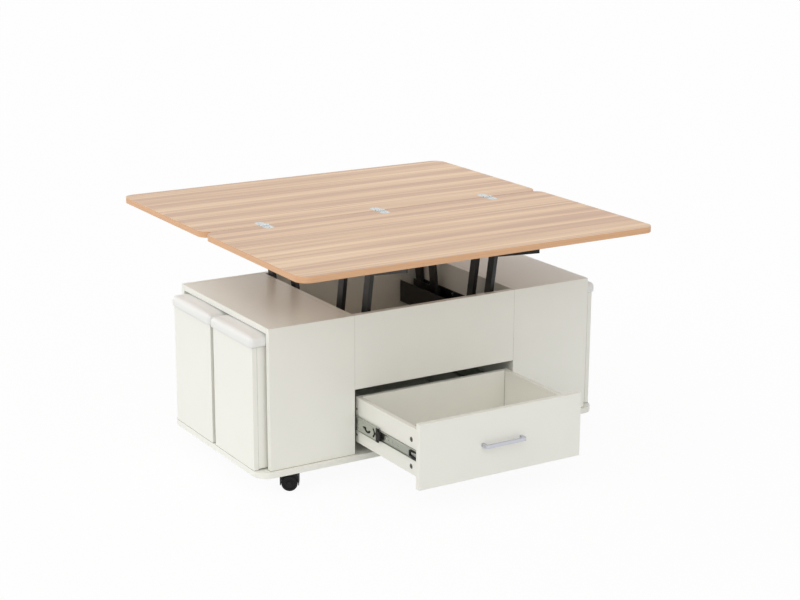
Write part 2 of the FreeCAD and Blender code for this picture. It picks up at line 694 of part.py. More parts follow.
def runner_member(name, start, length, web, lips, height, sheet_text):
    """A rolled channel along Y on the right wall: a web and two lips; places run inwards from the wall."""
    web_x = f"{WALL_X} - ({web}) - {sheet_text}"
    lip_low, lip_long = lips
    lip_x = f"{WALL_X} - ({lip_low}) - {lip_long}"
    half = f"({height})/2"
    return fuse(f"{name}_section", [
        box(f"{name}_web", (sheet_text, length, height), (web_x, start, f"{RUNNER_Z} - {half}")),
        box(f"{name}_lower_lip", (lip_long, length, sheet_text), (lip_x, start, f"{RUNNER_Z} - {half}")),
        box(f"{name}_upper_lip", (lip_long, length, sheet_text),
            (lip_x, start, f"{RUNNER_Z} + {half} - {sheet_text}")),
    ])


def runners():
    """Three-section runners: cabinet member, middle member with its stop clip, drawer member."""
    rest = f"(-{INNER_Y} + runner_setback)"
    middle_start = f"({rest} - runner_length/2)"
    inner_start = f"({rest} - runner_length)"
    step = "2*(runner_sheet + runner_clear)"
    middle_height = f"(runner_height - {step})"
    inner_height = f"({middle_height} - {step})"
    length = "(runner_length - 2*runner_setback)"
    outer = runner_member("runner_outer", rest, length, "0", ("0", "runner_lip"), "runner_height",
                          "runner_sheet")
    middle_front = f"({middle_start} + runner_middle_trim)"
    middle = runner_member("runner_middle", middle_front, f"({length} - runner_middle_trim)",
                           "runner_middle_web", ("runner_middle_low", "runner_middle_lip"), middle_height,
                           "runner_sheet")
    inner = runner_member("runner_inner", inner_start, length, "runner_thick - runner_sheet",
                          ("runner_thick - runner_sheet - runner_inner_lip", "runner_inner_lip"),
                          inner_height, "runner_sheet")
    pair("runner_outer_members", outer)
    moving = (("runner_middle_members", middle, middle_start, "runner_middle_web"),
              ("runner_inner_members", inner, inner_start, "runner_thick - runner_sheet"))
    for name, member, start, web in moving:
        holes = [
            rod(f"{name}_hole_{number}", "x", "runner_hole_radius", "runner_sheet + overrun/5",
                (f"{WALL_X} - ({web}) - runner_sheet - overrun/10",
                 f"{start} + {number + 0.5}*{length}/runner_hole_count", RUNNER_Z))
            for number in range(SIZES["runner_hole_count"])
        ]
        pair(name, cut(f"{name}_right", member, holes))
    clip = box("runner_stop_clip", ("clip_thick", "clip_length", "clip_height"),
               (f"{WALL_X} - runner_middle_web", middle_front, f"{RUNNER_Z} - clip_height/2"))
    pair("runner_stop_clips", clip)


def cushion_solid(length, width):
    """A padded seat: sides that swell out of the seam and draw in over the edge to a low crown."""
    height = value("cushion_height")
    bulge = value("cushion_bulge")
    corner = value("cushion_corner")
    wires = []
    for rise, out in zip(CUSHION_RISE_SHARES, CUSHION_BULGE_SHARES):
        x, y = length/2 + out*bulge, width/2 + out*bulge
        radius = corner + max(out, 0)*bulge
        wires.append(rounded_wire(x, y, radius, rise*height))
    return Part.makeLoft(wires, True, False)


def rounded_wire(x, y, radius, z):
    """A level rectangle of half sizes x and y with round corners, as lines and quarter arcs."""
    edges = []
    turn = radius*(1 - math.sqrt(0.5))
    for sx, sy in ((1, 1), (-1, 1), (-1, -1), (1, -1)):
        side = Vector(sx*x, sy*(y - radius), z)
        end = Vector(sx*(x - radius), sy*y, z)
        arc_mid = Vector(sx*(x - turn), sy*(y - turn), z)
        first, last = (side, end) if sx*sy > 0 else (end, side)
        edges.append(Part.Arc(first, arc_mid, last).toShape())
        following = Vector(-end.x, end.y, z) if sx*sy > 0 else Vector(side.x, -side.y, z)
        edges.append(Part.LineSegment(last, following).toShape())
    return Part.Wire(edges)


def stools():
    """Four stools, each a boarded box with a padded seat, put away in pairs at both ends."""
    near = f"({BLOCK_X} + cushion_bulge + stool_back_clear)"
    depth = f"(base_length/2 - stool_end_inset - {near})"
    width = f"({INNER_Y} - stool_side_clear - stool_gap/2)"
    inside_x, inside_y = f"({depth} - 2*stool_board)", f"({width} - 2*stool_board)"
    seat_z = f"({BASE_TOP} + stool_lift + stool_height)"
    for side, x in (("left", f"-({near} + {depth})"), ("right", near)):
        for end, y in (("front", f"(-stool_gap/2 - {width})"), ("rear", "(stool_gap/2)")):
            name = f"stool_{end}_{side}"
            low = f"{BASE_TOP} + stool_lift"
            boards = [
                box(f"{name}_end_{number}", ("stool_board", width, "stool_height"), (at, y, low))
                for number, at in enumerate((x, f"{x} + {depth} - stool_board"))
            ]
            boards += [
                box(f"{name}_side_{number}", (inside_x, "stool_board", "stool_height - stool_side_lift"),
                    (f"{x} + stool_board", at, f"{low} + stool_side_lift"))
                for number, at in enumerate((y, f"{y} + {width} - stool_board"))
            ]
            boards += [
                box(f"{name}_{part}", (inside_x, inside_y, "stool_board"),
                    (f"{x} + stool_board", f"{y} + stool_board", z))
                for part, z in (("floor", f"{low} + stool_side_lift"),
                                ("seat_board", f"{seat_z} - stool_board"))
            ]
            node(group(f"{name}_carcass", boards))
            cushion = doc.addObject("Part::Feature", f"{name}_cushion")
            cushion.Shape = cushion_solid(value(depth), value(width))
            place(cushion, (f"{x} + {depth}/2", f"{y} + {width}/2", f"{seat_z} + cushion_lift"))
            node(cushion)


def casters():
    """Twin-wheel casters: a top plate with its kingpin, a hood that swivels on it, and the wheels."""
    plate_z = "(caster_height - caster_plate_thick)"
    plates = []
    for side, sign in (("left", "-"), ("right", "")):
        for end, facing in (("front", "-"), ("rear", "")):
            name = f"caster_{end}_{side}"
            x, y = f"{sign}(base_length/2 - caster_inset_x)", f"{facing}(base_depth/2 - caster_inset_y)"
            plates.append(fuse(f"{name}_top", [
                box(f"{name}_plate", ("caster_plate", "caster_plate", "caster_plate_thick"),
                    (f"{x} - caster_plate/2", f"{y} - caster_plate/2", plate_z)),
                rod(f"{name}_kingpin", "z", "kingpin_radius", "kingpin_length",
                    (x, y, f"{plate_z} - kingpin_length")),
            ]))
            hood(name, x, y, plate_z)
            wheels(name, x, y)
    node(group("caster_plates", plates))


def turned(item, x, y):
    """Turn a caster's hood or wheels about its kingpin, to where they came to rest after rolling."""
    item.setExpression("Placement.Rotation.Angle", bound("caster_turn"))
    return place(item, (f"({x})*(1 - cos(caster_turn)) + ({y})*sin(caster_turn)",
                        f"({y})*(1 - cos(caster_turn)) - ({x})*sin(caster_turn)", "0"))


HOOD_INNER = "(wheel_radius + hood_gap)"
HOOD_OUTER = f"({HOOD_INNER} + hood_wall)"
HOOD_HALF = "(web_thick/2 + wheel_gap + wheel_width + wheel_gap)"


def hood(name, x, y, plate_z):
    """Swivelling body: a hood over the wheels, rounded at its top, with a web between them."""
    axle_x = f"({x} - caster_trail)"
    start_y = f"{y} - {HOOD_HALF}"
    top = f"({plate_z} - caster_gap)"
    low = "(wheel_radius - hood_skirt)"
    block = box(f"{name}_block", (f"2*{HOOD_OUTER}", f"2*{HOOD_HALF}", f"{top} - {low}"),
                (f"{axle_x} - {HOOD_OUTER}", start_y, low))
    crown = rod(f"{name}_crown", "y", "hood_crown", f"2*{HOOD_HALF}",
                (axle_x, start_y, f"{top} - hood_crown"))
    dome = doc.addObject("Part::Common", f"{name}_dome")
    dome.Base, dome.Tool = block, crown
    room = rod(f"{name}_room", "y", HOOD_INNER, f"2*{HOOD_HALF} + overrun",
               (axle_x, f"{start_y} - overrun/2", "wheel_radius"))
    boss = "2*axle_radius"
    web = fuse(f"{name}_web", [
        box(f"{name}_rib", (f"2*{boss}", "web_thick", f"{HOOD_INNER} + hood_wall"),
            (f"{axle_x} - {boss}", f"{y} - web_thick/2", "wheel_radius")),
        rod(f"{name}_boss", "y", boss, "web_thick", (axle_x, f"{y} - web_thick/2", "wheel_radius")),
    ])
    bore = rod(f"{name}_bore", "y", "axle_radius + pin_clear", "web_thick + overrun",
               (axle_x, f"{y} - web_thick/2 - overrun/2", "wheel_radius"))
    swivel = rod(f"{name}_swivel_bore", "z", "kingpin_radius + pin_clear", "kingpin_length + overrun",
                 (x, y, f"{plate_z} - kingpin_length - overrun/2"))
    shell = cut(f"{name}_shell", dome, [room])
    node(turned(cut(f"{name}_hood", fuse(f"{name}_body", [shell, web]), [bore, swivel]), x, y))


def wheels(name, x, y):
    """Two wheels on one axle."""
    axle_x = f"({x} - caster_trail)"
    near = "(web_thick/2 + wheel_gap)"
    length = f"2*({near} + wheel_width)"
    pieces = [
        rod(f"{name}_wheel_front", "y", "wheel_radius", "wheel_width",
            (axle_x, f"{y} - {near} - wheel_width", "wheel_radius")),
        rod(f"{name}_wheel_rear", "y", "wheel_radius", "wheel_width",
            (axle_x, f"{y} + {near}", "wheel_radius")),
        rod(f"{name}_axle", "y", "axle_radius", length,
            (axle_x, f"{y} - {near} - wheel_width", "wheel_radius")),
    ]
    node(turned(fuse(f"{name}_wheels", pieces), x, y))


def write_parts():
    """Check every object and write one file for each sub-part."""
    doc.recompute()
    failed = [item.Label for item in doc.Objects if {"Invalid", "Error"} & set(item.State)]
    failed += [item.Label for item in NODES if item.Shape.isNull() or not item.Shape.isValid()]
    if failed:
        raise RuntimeError(f"not built: {failed}")
    os.makedirs("parts", exist_ok=True)
    for item in NODES:
        item.Shape.exportStep(f"parts/{item.Label}.step")
    print(len(NODES), "sub-parts,", sum(len(item.Shape.Solids) for item in NODES), "solids")


cabinet()
channels()
pivot_plates()
arms()
brackets()
leaf("front_leaf", "-")
leaf("rear_leaf", "+")
hinges()
drawer()
runners()
stools()
casters()
write_parts()
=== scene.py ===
"""Looks of a convertible coffee and dining table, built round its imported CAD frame."""

import json
import math

import bmesh
import bpy
from bpy.props import FloatProperty, FloatVectorProperty, PointerProperty
from bpy.types import Operator, Panel, PropertyGroup
from mathutils import Matrix, Vector

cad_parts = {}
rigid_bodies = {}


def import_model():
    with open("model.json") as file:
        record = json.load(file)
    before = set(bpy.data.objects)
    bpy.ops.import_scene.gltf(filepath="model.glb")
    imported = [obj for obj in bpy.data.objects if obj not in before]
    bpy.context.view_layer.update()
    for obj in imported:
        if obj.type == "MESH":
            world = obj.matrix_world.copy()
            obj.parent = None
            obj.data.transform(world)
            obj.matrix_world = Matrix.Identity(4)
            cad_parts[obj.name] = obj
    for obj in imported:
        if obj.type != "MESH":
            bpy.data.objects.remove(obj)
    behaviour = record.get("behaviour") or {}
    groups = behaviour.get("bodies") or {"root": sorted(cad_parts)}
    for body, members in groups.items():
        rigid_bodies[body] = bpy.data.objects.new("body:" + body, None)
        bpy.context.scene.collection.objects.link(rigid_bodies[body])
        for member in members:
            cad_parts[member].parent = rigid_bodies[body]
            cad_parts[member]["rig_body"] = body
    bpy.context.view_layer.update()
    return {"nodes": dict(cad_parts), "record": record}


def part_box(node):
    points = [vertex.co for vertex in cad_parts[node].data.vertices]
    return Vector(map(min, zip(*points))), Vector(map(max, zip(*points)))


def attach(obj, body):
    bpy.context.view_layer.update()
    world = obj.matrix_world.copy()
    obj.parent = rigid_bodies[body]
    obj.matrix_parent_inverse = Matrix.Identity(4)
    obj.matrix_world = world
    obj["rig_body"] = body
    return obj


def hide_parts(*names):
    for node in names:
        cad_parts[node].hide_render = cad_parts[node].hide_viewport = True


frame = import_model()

bl_info = {
    "name": "Convertible coffee and dining table",
    "version": (1, 0, 0),
    "blender": (4, 5, 0),
    "location": "3D View > Sidebar > Table",
    "description": "Dresses the table's frame with its finishes, padded seats, fittings and "
                   "casters, and sets up a studio",
    "category": "Object",
}

NODES = frame["nodes"]
MM = 0.001

# edges that bend more than this are sharp, and faces that bend less than this are one face
SHARP, FLAT = math.radians(40), math.radians(0.5)
# vertices closer than this are one vertex
SAME_SPOT = 0.001*MM

# sockets of a Mix node that mixes colours
SHARE, FIRST, SECOND, MIXED = 0, 6, 7, 2
# how much of its surroundings a spot sees where the painted shade of joints and corners is full, and
# where it ends
FULLY_SHADED_SIGHT, UNSHADED_SIGHT = 0.35, 0.85

# a fastener's cross recess and its soft rim, as shares of its radius
CROSS_ARM, CROSS_HALF, SOFT_RIM = 0.6, 0.15, 0.12
# the deepest that a cross recess goes, as a share of the fastener's depth
CROSS_DEEPEST = 0.6


def srgb(code):
    """Linear colour of an sRGB hex value."""
    parts = [int(code[start:start + 2], 16)/255 for start in (1, 3, 5)]
    return [part/12.92 if part <= 0.04045 else ((part + 0.055)/1.055)**2.4 for part in parts] + [1.0]


def colour(name, description, code):
    """A colour setting from its sRGB hex value."""
    return FloatVectorProperty(name=name, description=description, default=srgb(code), size=4,
                               min=0, max=1, subtype="COLOR")


def length(name, description, millimetres):
    """A length setting from millimetres."""
    return FloatProperty(name=name, description=description, default=millimetres*MM, unit="LENGTH")


def angle(name, description, degrees):
    """An angle setting from degrees."""
    return FloatProperty(name=name, description=description, default=math.radians(degrees),
                         subtype="ANGLE")


def strength(name, description, default):
    """A strength setting without a unit."""
    return FloatProperty(name=name, description=description, default=default)


class TableFinishes(PropertyGroup):
    """Colours of the table's finishes"""

    melamine: colour("Melamine", "White facing of the cabinet, drawer and stool boards", "#F2F1E8")
    melamine_cloud: colour("Melamine clouding", "Second tone of the white facing", "#ECECE4")
    # painted shade for the white boards' joints and inside corners
    joint_shade: colour("Joint line", "Hairlines where boards meet", "#6E675B")
    wood_light: colour("Wood, light", "Palest streaks of the top", "#F1D5B4")
    wood_middle: colour("Wood, middle", "Ground colour of the top", "#DFBE9E")
    wood_pink: colour("Wood, pink", "Cool broad streaks of the top", "#CEAC94")
    wood_dark: colour("Wood, dark", "Darkest streaks and grain lines of the top", "#B98F74")
    # painted shade for the joint between the leaves and narrow corners on them
    wood_joint_shade: colour("Wood joint", "Line between the two leaves", "#7A5A44")
    edge_band: colour("Edge band", "Band round the leaves' edges", "#DDAE84")
    powder_coat: colour("Powder coat", "Black coat of the lift", "#141414")
    bright_zinc: colour("Bright zinc", "Plating of hinges and screws", "#CDD2D2")
    runner_zinc: colour("Runner zinc", "Plating of the drawer runners", "#C3C7BF")
    # painted shade for the corners of the runners' channels
    runner_corner_shade: colour("Runner corner shade", "Painted shade in the corners of the drawer runners", "#4A4E4B")
    cam_zinc: colour("Cam zinc", "Die-cast cam locks", "#8A857B")
    handle_silver: colour("Handle silver", "Satin bar handle", "#C9CAD2")
    moulded_black: colour("Moulded black", "Casters and runner clips", "#0C0C0C")
    rubber: colour("Rubber", "Pads under the rear leaf", "#222224")
    leatherette: colour("Leatherette", "Covers of the padded seats", "#E9E9E6")


class TableForms(PropertyGroup):
    """Sizes of the shapes that the looks add"""

    board_ease: length("Board edge", "Rounding of the white boards' edges", 0.8)
    leaf_ease: length("Leaf edge", "Rounding of the edge band's corners on the two leaves", 1.2)
    sheet_ease: length("Sheet edge", "Rounding of the lift's pressed steel", 0.5)
    bar_ease: length("Bar edge", "Rounding of the lift arms' edges", 2.0)
    handle_ease: length("Handle edge", "Rounding of the bar handle's edges", 2.2)
    hood_ease: length("Hood edge", "Rounding of the caster hoods' edges", 1.2)
    tread_round: length("Tread", "Rounding of the wheels' treads", 3.0)
    hub_sink: length("Hub", "Depth of the dish between a wheel's hub and rim", 2.0)
    runner_ease: length("Runner edge", "Rounding of the runners' rolled edges", 0.6)
    member_height: length("Drawer member", "Height of the runners' drawer members", 30.0)
    clip_nose: length("Clip nose", "How far each runner clip reaches past its member's end", 2.0)
    clip_ear: length("Clip ears", "Length of the two ears at the rear of each runner clip", 14.0)
    slit_radius: length("Slit", "Radius of the bowed slit behind each runner clip", 13.0)
    hook_radius: length("Hook", "Radius of the hooked slot behind the bowed slit", 8.0)
    slit_width: length("Slit width", "Width of the bowed slit and the hooked slot", 6.0)
    slit_gap: length("Slit gap", "Distance from each runner clip to the bowed slit", 9.0)
    latch_length: length("Latch", "Length of the latch in the front of each drawer member", 42.0)
    seat_slack: length("Seat slack", "How far the foam stays inside the full seat", 6.0)
    seat_corner: length("Seat corner", "Rounding of the seat's upright corners", 12.0)
    seat_edge: length("Seat edge", "Rounding of the foam's upper edge", 13.0)
    seat_voxel: length("Seat mesh", "Spacing of the cover's mesh", 5.0)
    seat_pressure: strength("Seat pressure", "Pressure inside the cover", 0.35)


class TableStudio(PropertyGroup):
    """Camera and lights"""

    camera_place: FloatVectorProperty(name="Camera", description="Where the camera stands",
                                      unit="LENGTH", subtype="TRANSLATION",
                                      default=(-2.7147, -4.4972, 1.8973))
    camera_turn: angle("Turn", "Turn about the upright", -31.58)
    camera_tilt: angle("Tilt", "Tilt below the horizon", 15.473)
    camera_roll: angle("Roll", "Roll about the view", 0.289)
    camera_lens: FloatProperty(name="Lens", description="Focal length on a 36 mm wide sensor",
                               unit="CAMERA", default=78.952)
    left_light: strength("Left light", "Broad light from the left, low", 0.98)
    front_light: strength("Front light", "Broad light from the front, low", 0.66)
    top_light: strength("Top light", "Broad light from above", 0.30)
    back_light: strength("Back light", "Broad light off the white wall behind", 1.00)
    softness: angle("Softness", "Angle across each broad light", 60)
    sky: strength("Fill", "Even light from all round", 0.43)
    floor_white: FloatProperty(name="Floor white", subtype="FACTOR", min=0, max=1, default=0.94,
                               description="Share of plain white that the camera sees")


def put(tree, kind, inputs=None, **settings):
    """Add a node: settings are its properties, inputs are values or the sockets that feed them."""
    node = tree.nodes.new(kind)
    for name, setting in settings.items():
        setattr(node, name, setting)
    for name, given in (inputs or {}).items():
        if isinstance(given, bpy.types.NodeSocket):
            tree.links.new(given, node.inputs[name])
        else:
            node.inputs[name].default_value = given
    return node


def new_finish(name, inputs):
    """A material, its node tree and its shader, with the shader's own sockets set."""
    material = bpy.data.materials.new(name)
    material.use_nodes = True
    tree = material.node_tree
    shader = tree.nodes["Principled BSDF"]
    for socket, given in inputs.items():
        shader.inputs[socket].default_value = given
    return material, tree, shader


def colour_with_joint_shade(tree, shader, tone, dark, reach):
    """Give the shader a tone with painted shade: dark in joints and corners narrower than that many
    millimetres.
    """
    # painted shade: ambient occlusion finds where little of the surroundings is seen, and the tone
    # turns dark there
    seen = put(tree, "ShaderNodeAmbientOcclusion", {"Distance": reach*MM}, samples=8).outputs["AO"]
    share = put(tree, "ShaderNodeMapRange", {
        "Value": seen, "From Min": FULLY_SHADED_SIGHT, "From Max": UNSHADED_SIGHT}).outputs["Result"]
    joined = put(tree, "ShaderNodeMix", {SHARE: share, FIRST: dark, SECOND: tone}, data_type="RGBA")
    tree.links.new(joined.outputs[MIXED], shader.inputs["Base Color"])


def relief(tree, shader, pattern, gloss, strength, depth, spread=(0.0, 1.0), invert=False):
    """Let a pattern vary the roughness between two values and raise the surface by millimetres."""
    rough = put(tree, "ShaderNodeMapRange", {
        "Value": pattern, "From Min": spread[0], "From Max": spread[1],
        "To Min": gloss[0], "To Max": gloss[1]})
    tree.links.new(rough.outputs["Result"], shader.inputs["Roughness"])
    bump = put(tree, "ShaderNodeBump", {"Height": pattern, "Strength": strength,
                                        "Distance": depth*MM}, invert=invert)
    tree.links.new(bump.outputs["Normal"], shader.inputs["Normal"])


def streaks(tree, place, sizes, detail, start=(0.0, 0.0, 0.0), roughness=0.5):
    """Noise in streaks, by their size along X, Y and Z in millimetres: its sockets."""
    stretched = put(tree, "ShaderNodeMapping", {
        "Vector": place, "Location": start, "Scale": [1/(size*MM) for size in sizes]})
    return put(tree, "ShaderNodeTexNoise", {
        "Vector": stretched.outputs["Vector"], "Scale": 1.0, "Detail": detail,
        "Roughness": roughness}).outputs


def darkened(tree, tone, dark, pattern, faint, full, most):
    """A tone that a pattern darkens, from its faint value up to its full one, by a share at most."""
    depth = put(tree, "ShaderNodeMapRange", {
        "Value": pattern, "From Min": faint, "From Max": full, "To Min": 0.0, "To Max": most})
    return put(tree, "ShaderNodeMix", {SHARE: depth.outputs["Result"], FIRST: tone, SECOND: dark},
               data_type="RGBA").outputs[MIXED]


def white_melamine(tones):
    """Melamine-faced chipboard: satin white, with a pearl press that softens its reflections."""
    material, tree, shader = new_finish("white_melamine_board", {
        "IOR": 1.5, "Specular IOR Level": 0.5})
    place = put(tree, "ShaderNodeTexCoord").outputs["Object"]
    # clouds of about 160 mm, where the paper took up more or less resin
    cloud = put(tree, "ShaderNodeTexNoise", {
        "Vector": place, "Scale": 1/(160*MM), "Detail": 3.0}).outputs["Fac"]
    tone = put(tree, "ShaderNodeMix", {
        SHARE: cloud, FIRST: tones.melamine, SECOND: tones.melamine_cloud}, data_type="RGBA")
    # painted shade: the joints and inside corners between boards turn dark as hairlines, where the
    # banded edges meet
    colour_with_joint_shade(tree, shader, tone.outputs[MIXED], tones.joint_shade, 2.5)
    # the press pattern has pearls of 0.5 mm; they are drawn at 3 mm so that they show
    pearl = put(tree, "ShaderNodeTexNoise", {
        "Vector": place, "Scale": 1/(3*MM), "Detail": 2.0}).outputs["Fac"]
    relief(tree, shader, pearl, (0.26, 0.38), 0.12, 0.2)
    return material


def wood_print(tree, place, tones):
    """The printed wood's colour, with its grain along X, and the pattern of its hair lines."""
    # the lines wander by about 6 mm over half a metre
    drift = streaks(tree, place, (625, 200, 200), 1.5)["Color"]
    shift = put(tree, "ShaderNodeVectorMath", {0: drift, 1: (0.0, 16*MM, 0.0)}, operation="MULTIPLY")
    lines = put(tree, "ShaderNodeVectorMath", {0: place, 1: shift.outputs["Vector"]},
                operation="ADD").outputs["Vector"]
    # streaks by their width and length in millimetres
    broad, narrow, hair = (
        streaks(tree, lines, (run, wide, wide), detail, start=(wide, run, 0.0), roughness=0.55)["Fac"]
        for wide, run, detail in ((60, 2400, 3.0), (10, 1300, 4.0), (2.6, 420, 2.0)))
    broad_part = put(tree, "ShaderNodeMath", {0: broad, 1: 0.54}, operation="MULTIPLY").outputs[0]
    both = put(tree, "ShaderNodeMath", {0: narrow, 1: 0.46, 2: broad_part}, operation="MULTIPLY_ADD")
    ground = put(tree, "ShaderNodeValToRGB", {"Fac": both.outputs[0]})
    ramp = ground.color_ramp.elements
    ramp[0].position, ramp[0].color = 0.36, tones.wood_pink
    ramp[1].position, ramp[1].color = 0.62, tones.wood_light
    for position, tone in ((0.44, tones.wood_pink), (0.50, tones.wood_middle)):
        ramp.new(position).color = tone
    # year rings cut flat, 13 mm apart, that bend into long pointed arches
    drawn_out = put(tree, "ShaderNodeMapping", {"Vector": lines, "Scale": (0.16, 1.0, 1.0)})
    rings = put(tree, "ShaderNodeTexWave", {
        "Vector": drawn_out.outputs["Vector"], "Scale": math.pi/10/(13*MM), "Distortion": 9.0,
        "Detail": 2.0, "Detail Scale": 0.35}, bands_direction="Y").outputs["Fac"]
    ringed = darkened(tree, ground.outputs["Color"], tones.wood_dark, rings, 0.55, 1.0, 0.16)
    return darkened(tree, ringed, tones.wood_dark, hair, 0.52, 0.72, 0.42), hair


def wood_laminate(tones):
    """Oak-look printed laminate with a plain edge band: long streaks, fine lines, low gloss."""
    material, tree, shader = new_finish("oak_look_laminate", {
        "IOR": 1.48, "Specular IOR Level": 0.4})
    coordinates = put(tree, "ShaderNodeTexCoord").outputs
    wood, hair = wood_print(tree, coordinates["Object"], tones)
    # the band: faint lines along the edge, 2 mm apart and a sixth of a metre long
    band_lines = streaks(tree, coordinates["Object"], (1000/6, 1000/6, 2), 2.0)["Fac"]
    band = darkened(tree, tones.edge_band, tones.wood_dark, band_lines, 0.4, 0.7, 0.3)
    # the print lies on the level faces, the band on the upright ones
    upright = put(tree, "ShaderNodeSeparateXYZ", {"Vector": coordinates["Normal"]}).outputs["Z"]
    level = put(tree, "ShaderNodeMath", {0: upright}, operation="ABSOLUTE").outputs[0]
    face = put(tree, "ShaderNodeMath", {0: level, 1: 0.7}, operation="GREATER_THAN").outputs[0]
    surface = put(tree, "ShaderNodeMix", {SHARE: face, FIRST: band, SECOND: wood}, data_type="RGBA")
    # painted shade: the joint between the leaves, and other narrow corners on them, turn dark as a
    # line
    colour_with_joint_shade(tree, shader, surface.outputs[MIXED], tones.wood_joint_shade, 4.0)
    relief(tree, shader, hair, (0.38, 0.56), 0.15, 0.2)
    return material


def grained_finish(name, tone, grain, depth, gloss, inputs):
    """A finish of one colour with a fine grain, whose size and depth are in millimetres."""
    material, tree, shader = new_finish(name, {"Base Color": tone, **inputs})
    place = put(tree, "ShaderNodeTexCoord").outputs["Object"]
    pattern = put(tree, "ShaderNodeTexNoise", {
        "Vector": place, "Scale": 1/(grain*MM), "Detail": 2.0}).outputs["Fac"]
    relief(tree, shader, pattern, gloss, 0.3, depth, spread=(0.3, 0.7))
    return material


def powder_coat(tones):
    """Black polyester powder coat, baked on: an orange-peel skin that breaks its highlights."""
    # the peel's dimples are about 1.5 mm and are drawn at 2.5 mm so that they show
    return grained_finish("black_powder_coat", tones.powder_coat, 2.5, 0.15, (0.34, 0.48),
                          {"IOR": 1.5})


def bright_zinc(tones):
    """Bright zinc plating on pressed steel: a clean metal with a slightly uneven shine."""
    return grained_finish("bright_zinc_plate", tones.bright_zinc, 6.0, 0.03, (0.22, 0.36),
                          {"Metallic": 1.0})


def die_cast_zinc(tones):
    """Die-cast zinc: dull grey metal with a sandy skin."""
    return grained_finish("die_cast_zinc", tones.cam_zinc, 0.8, 0.08, (0.45, 0.6),
                          {"Metallic": 1.0})


def moulded_nylon(tones):
    """Black nylon, moulded in a spark-eroded tool: a fine even grain and a soft shine."""
    # the tool's grain is 0.3 mm and is drawn at 1 mm so that it shows
    return grained_finish("moulded_black_nylon", tones.moulded_black, 1.0, 0.08, (0.38, 0.5),
                          {"IOR": 1.53, "Specular IOR Level": 0.25})


def black_rubber(tones):
    """Black pad rubber, pressed: quite dull."""
    return grained_finish("pressed_black_rubber", tones.rubber, 1.0, 0.1, (0.75, 0.9), {"IOR": 1.52})


def runner_steel(tones):
    """Zinc-plated strip, rolled into channels: grey metal with draw lines along its length."""
    material, tree, shader = new_finish("rolled_zinc_steel", {"Metallic": 1.0})
    place = put(tree, "ShaderNodeTexCoord").outputs["Object"]
    # painted shade: the channels' corners, where the ball tracks run, turn dark
    colour_with_joint_shade(tree, shader, tones.runner_zinc, tones.runner_corner_shade, 5.0)
    # draw lines of 0.4 mm, drawn at 1.2 mm so that they show, 60 mm long
    drawn = streaks(tree, place, (1.2, 60, 1.2), 2.0)["Fac"]
    relief(tree, shader, drawn, (0.2, 0.45), 0.2, 0.05)
    return material


def satin_silver(tones):
    """Zinc alloy with a satin silver finish, brushed: soft highlights drawn out along the bar."""
    material, tree, shader = new_finish("satin_silver_bar", {
        "Metallic": 1.0, "Base Color": tones.handle_silver})
    place = put(tree, "ShaderNodeTexCoord").outputs["Object"]
    # brush lines of 0.3 mm, drawn at 1 mm so that they show, 40 mm long
    brushed = streaks(tree, place, (40, 1, 1), 2.0)["Fac"]
    relief(tree, shader, brushed, (0.28, 0.46), 0.15, 0.05)
    return material


def white_leatherette(tones):
    """Polyurethane leatherette over foam: an embossed pebble grain and a faint sheen."""
    material, tree, shader = new_finish("white_leatherette", {
        "Base Color": tones.leatherette, "IOR": 1.47, "Sheen Weight": 0.1, "Sheen Roughness": 0.4})
    place = put(tree, "ShaderNodeTexCoord").outputs["Object"]
    # pebbles of 1.2 mm, drawn at 2.4 mm so that they show
    pebbles = put(tree, "ShaderNodeTexVoronoi", {"Vector": place, "Scale": 1/(2.4*MM)},
                  feature="SMOOTH_F1").outputs["Distance"]
    relief(tree, shader, pebbles, (0.42, 0.6), 0.2, 0.15, invert=True)
    return material


def nodes_in(slot):
    """The CAD nodes that take their finish from one of the record's slots."""
    return [part["node"] for part in frame["record"]["subparts"] if part["material_slot"] == slot]


def paint(material, names):
    """Give CAD nodes that stay as they are a finish."""
    for name in names:
        NODES[name].material_slots[0].material = material


def new_object(name, bm, material):
    """An object at the origin from a finished bmesh, smooth but for its sharp edges."""
    mesh = bpy.data.meshes.new(name)
    bm.to_mesh(mesh)
    bm.free()
    mesh.shade_smooth()
    mesh.set_sharp_from_angle(angle=SHARP)
    mesh.materials.append(material)
    piece = bpy.data.objects.new(name, mesh)
    bpy.context.scene.collection.objects.link(piece)
    return piece


def stand_for(node, piece):
    """Let a piece ride where its CAD node does and show in its place."""
    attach(piece, NODES[node]["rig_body"])
    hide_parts(node)


def parts_of(faces):
    """The faces with their edges and vertices."""
    edges = {edge for face in faces for edge in face.edges}
    return [*faces, *edges, *{vert for face in faces for vert in face.verts}]


def verts_in(parts):
    """The vertices among an operator's results."""
    return [part for part in parts if isinstance(part, bmesh.types.BMVert)]


def block(size):
    """A bmesh of a block round the origin, to be cut and rounded."""
    bm = bmesh.new()
    bmesh.ops.create_cube(bm, size=1.0)
    bmesh.ops.scale(bm, vec=size, verts=bm.verts)
    return bm


def rounded(bm, edges, width, segments, **limits):
    """Round edges of a bmesh to a width."""
    bmesh.ops.bevel(bm, geom=edges, offset=width, offset_type="OFFSET", segments=segments,
                    profile=0.5, affect="EDGES", material=-1, **limits)


def turned_to(way):
    """The matrix that turns Z to face one way."""
    return Vector((0, 0, 1)).rotation_difference(way).to_matrix().to_4x4()


def scaled_about(centre, share, axis):
    """The matrix that scales along one axis about a centre."""
    there = Matrix.Translation(centre)
    return there @ Matrix.Scale(share, 4, axis) @ there.inverted()


